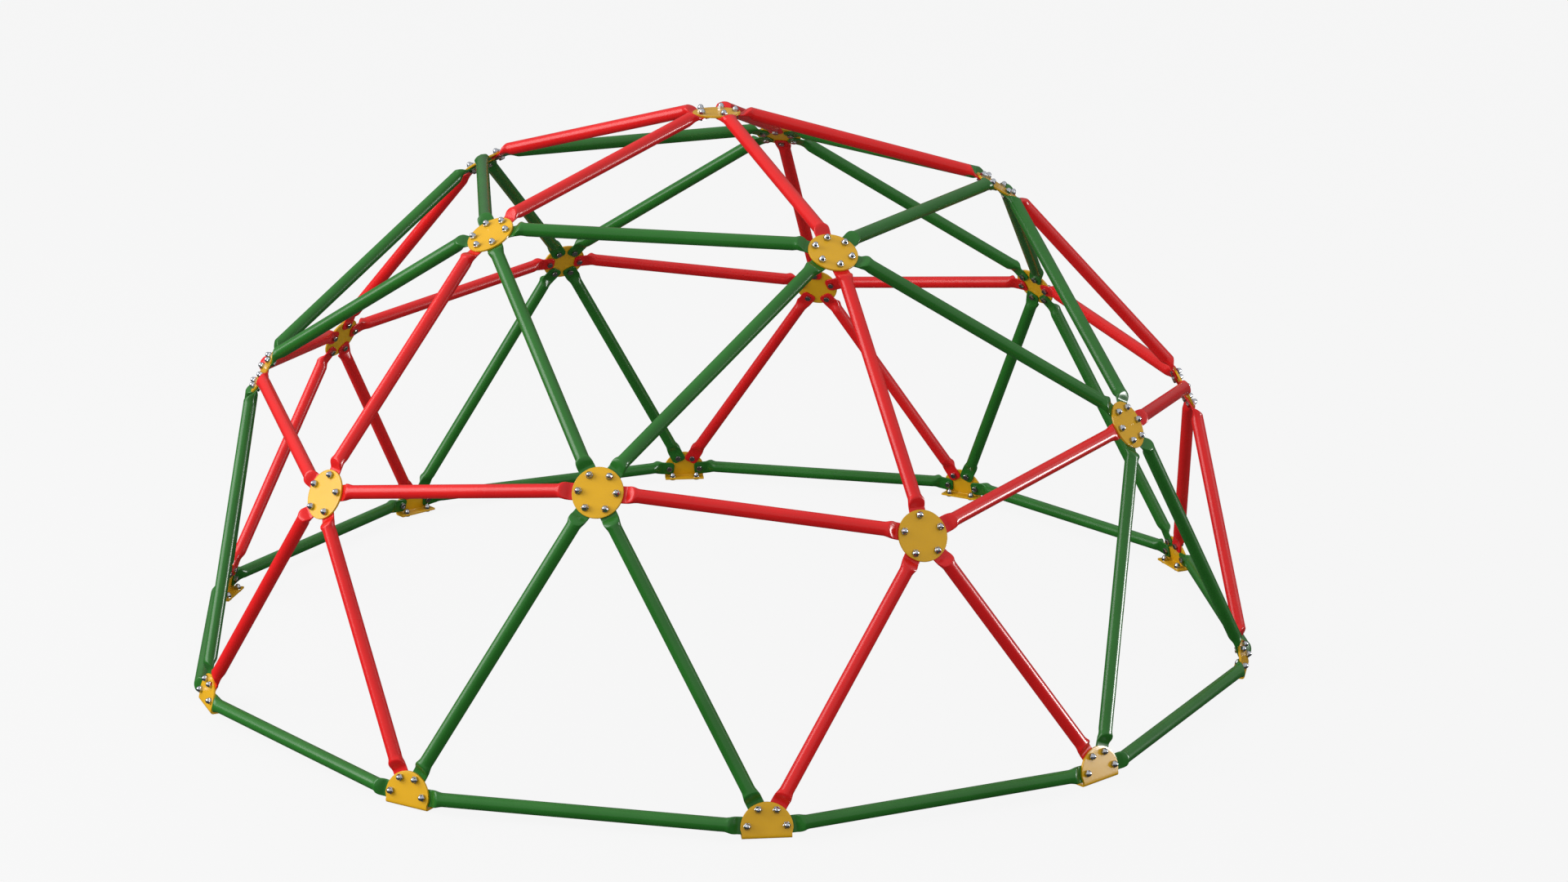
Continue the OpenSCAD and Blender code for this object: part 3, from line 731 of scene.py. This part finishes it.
def hub_bolt_places(lift):
    """Origin, x axis and z axis of every hub bolt, lifted outwards from the inner face of its plate."""
    spots = [(hub, other) for hub in HUBS for other in neighbours(hub)]
    return [(centre(hub) + bolt_circle(hub) * leaving(hub, other) + lift * normal(hub),
             leaving(hub, other), normal(hub)) for hub, other in spots]


def anchor_places(lift):
    """Origin, x axis and z axis of every anchor bolt, lifted from the underside of its flange."""
    spots = [(outward(("foot", i)), side) for i in range(10) for side in (-1, 1)]
    return [((FOOT_JOINT_RADIUS - ANCHOR_INSET) * n + side * ANCHOR_SPACING / 2 * np.cross(UP, n)
             + (ANCHOR_HEAD_HEIGHT + lift) * UP, n, UP) for n, side in spots]


FASTENERS = {
    "hub_cap_nuts": (cap_nut_shape(), hub_bolt_places(PLATE_THICKNESS), CAP_METAL),
    "anchor_cap_nuts": (cap_nut_shape(), anchor_places(PLATE_THICKNESS), CAP_METAL),
    "hub_bolts": (bolt_head_shape(HEAD_HEIGHT), hub_bolt_places(-FLAT_THICKNESS), HEAD_METAL),
    "anchor_bolts": (bolt_head_shape(ANCHOR_HEAD_HEIGHT), anchor_places(0.0), HEAD_METAL),
}
for node, (shape, places, metal) in FASTENERS.items():
    parts, flat = many(shape, places)
    make_piece(f"{node}_plated", parts, metal, [node], flat_faces=flat)
    print(node, len(parts), "of", len(shape[1]), "faces")

# %% [markdown]
# ## The studio
# The floor is plain and pale. Seen by the camera it is close to white. To everything else it is a
# darker matt floor, and darkest to mirror-like rays, as when black cards lie round a product out of
# sight: the cards draw a dark edge along shiny tubes. The sky is white where the camera sees it, and
# otherwise grows brighter upwards and towards the camera. A third lamp stands low, to the right, and
# makes glints only.


# %% Floor and light
FLOOR_REACH = 60.0
LIGHTS_AIM = np.array([0, 0, 0.7])


def grey(value):
    """A colour without hue."""
    return (value, value, value, 1.0)


def studio_floor():
    """A square plain of one face, stage only, with its looks mixed by the kind of ray that meets it."""
    finish, tree, shader = new_finish("pale_floor")
    shader.inputs["Roughness"].default_value = 0.9
    shader.inputs["Specular IOR Level"].default_value = 0.0
    path = add(tree, "ShaderNodeLightPath")
    seen, mirrored = path.outputs["Is Camera Ray"], path.outputs["Is Glossy Ray"]
    paper = mix_colours(tree, mirrored, grey(0.32), grey(0.07))
    tree.links.new(mix_colours(tree, seen, paper, grey(0.03)), shader.inputs["Base Color"])
    glow = mix_colours(tree, seen, grey(0.0), grey(0.893))
    tree.links.new(glow, shader.inputs["Emission Color"])
    shader.inputs["Emission Strength"].default_value = 1.0
    corners = np.array([[-1, -1, 0], [1, -1, 0], [1, 1, 0], [-1, 1, 0]]) * FLOOR_REACH
    mesh = bpy.data.meshes.new("studio_floor")
    mesh.from_pydata(corners.tolist(), [], [[0, 1, 2, 3]])
    mesh.materials.append(finish)
    floor = bpy.data.objects.new("studio_floor", mesh)
    bpy.context.scene.collection.objects.link(floor)


TO_RIGHT = np.array([0.91721, -0.39840, 0.0])  # level directions, as seen from the camera
TO_CAMERA = np.array([-0.39840, -0.91721, 0.0])


def soft_box(name, right, toward, height, away, size, power):
    """A square area light aimed at the dome, in a direction mixed from right, toward the camera and up."""
    place = unit(right * TO_RIGHT + toward * TO_CAMERA + height * UP) * away + LIGHTS_AIM
    light = bpy.data.lights.new(name, "AREA")
    light.shape, light.size, light.energy = "SQUARE", size, power
    lamp = bpy.data.objects.new(name, light)
    lamp.location = place.tolist()
    lamp.rotation_euler = turned_to(LIGHTS_AIM - place)
    bpy.context.scene.collection.objects.link(lamp)
    return lamp


studio_floor()
soft_box("key_box", -0.93, 0.22, 0.45, 8.0, 5.6, 530.0)
soft_box("side_box", 0.95, 0.10, 0.45, 7.0, 2.4, 30.0)
glint_box = soft_box("glint_box", 0.99, 0.10, -0.04, 7.0, 1.8, 600.0)
glint_box.visible_diffuse = False
world = bpy.data.worlds.new("studio_air")
world.use_nodes = True
air = world.node_tree
facing = add(air, "ShaderNodeVectorMath", operation="DOT_PRODUCT")
air.links.new(add(air, "ShaderNodeTexCoord").outputs["Generated"], facing.inputs[0])
facing.inputs[1].default_value = unit(0.5 * TO_CAMERA + 0.85 * UP).tolist()
brightness = remap(air, facing.outputs["Value"], -0.35, 0.75, 0.22, 1.08)
sky = mix_colours(air, brightness, grey(0.0), grey(1.0))
seen = add(air, "ShaderNodeLightPath").outputs["Is Camera Ray"]
air.links.new(mix_colours(air, seen, sky, grey(1.03)), air.nodes["Background"].inputs["Color"])
air.nodes["Background"].inputs["Strength"].default_value = 0.90
bpy.context.scene.world = world
bpy.context.scene.view_settings.view_transform = "Standard"
print("studio: one floor, three soft boxes and a sky")
